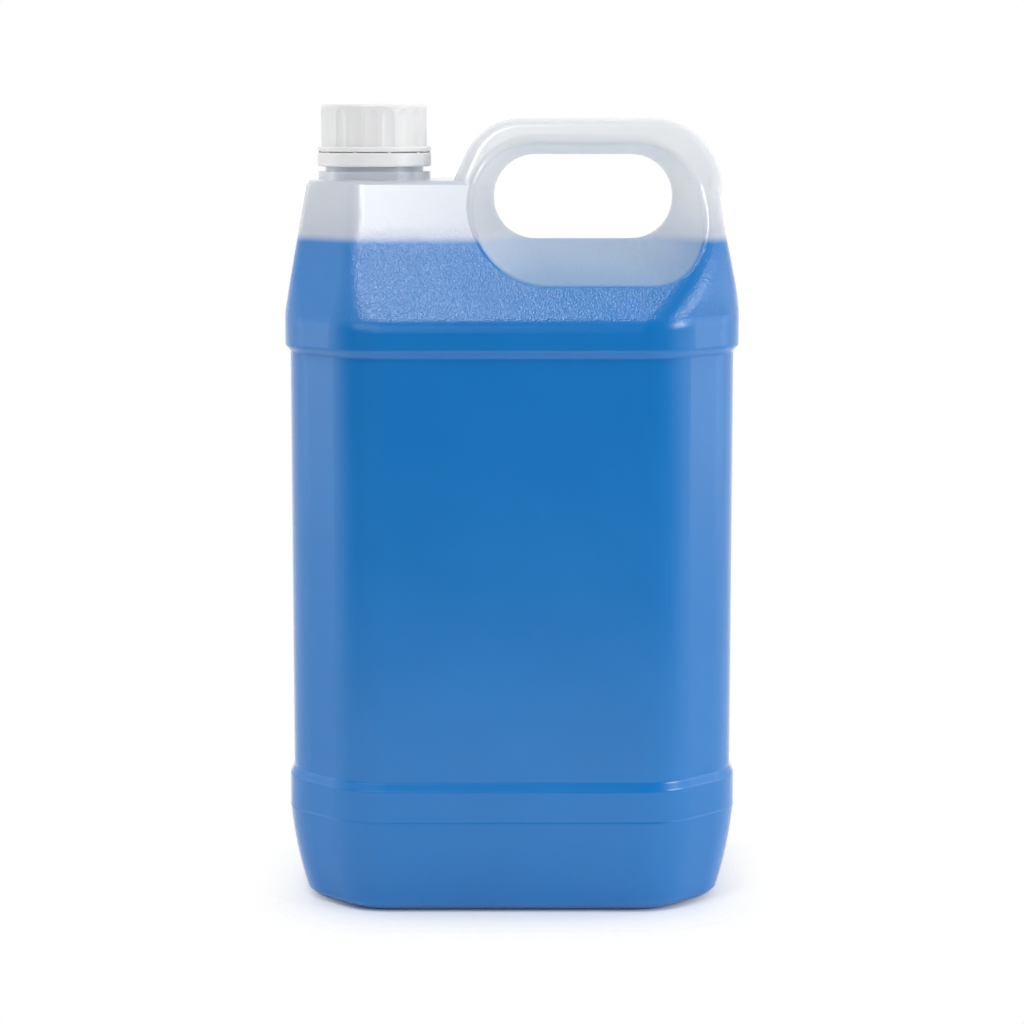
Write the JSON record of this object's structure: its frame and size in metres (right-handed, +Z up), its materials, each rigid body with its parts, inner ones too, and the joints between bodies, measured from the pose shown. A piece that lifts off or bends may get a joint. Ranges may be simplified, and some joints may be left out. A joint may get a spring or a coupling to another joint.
{
  "type": "disinfectant jug",
  "caption": "Translucent blow-moulded jug with a hollow handle, a ribbed screw cap with a tamper ring, and blue liquid inside.",
  "frame": {"origin": "centre of the base, on the surface that the jug stands on", "axes": "+Z up, +X from the neck towards the handle, -Y the front face"},
  "size_m": [0.182, 0.125, 0.3212],
  "materials": {
    "jug": "satin",
    "liquid": "gloss",
    "closure": "satin",
    "wad": "matte"
  },
  "bodies": {
    "jug_body": {"jug": "jug", "liquid": "liquid", "tamper_ring": "closure"},
    "wad_body": {"sealing_wad": "wad"},
    "cap_body": {"screw_cap": "closure"}
  },
  "joints": [
    {"name": "cap_lift", "type": "slide", "parent": "jug_body", "child": "wad_body", "axis": [0, 0, 1], "range_m": [0, 0.0106]},
    {"name": "cap_turn", "type": "hinge", "parent": "wad_body", "child": "cap_body", "pos_m": [-0.0558, 0, 0.3122], "axis": [0, 0, 1], "range_deg": [0, 900]}
  ],
  "couplings": [
    {"joint": "cap_lift", "follows": "cap_turn", "m_per_rad": 0.00067322}
  ]
}
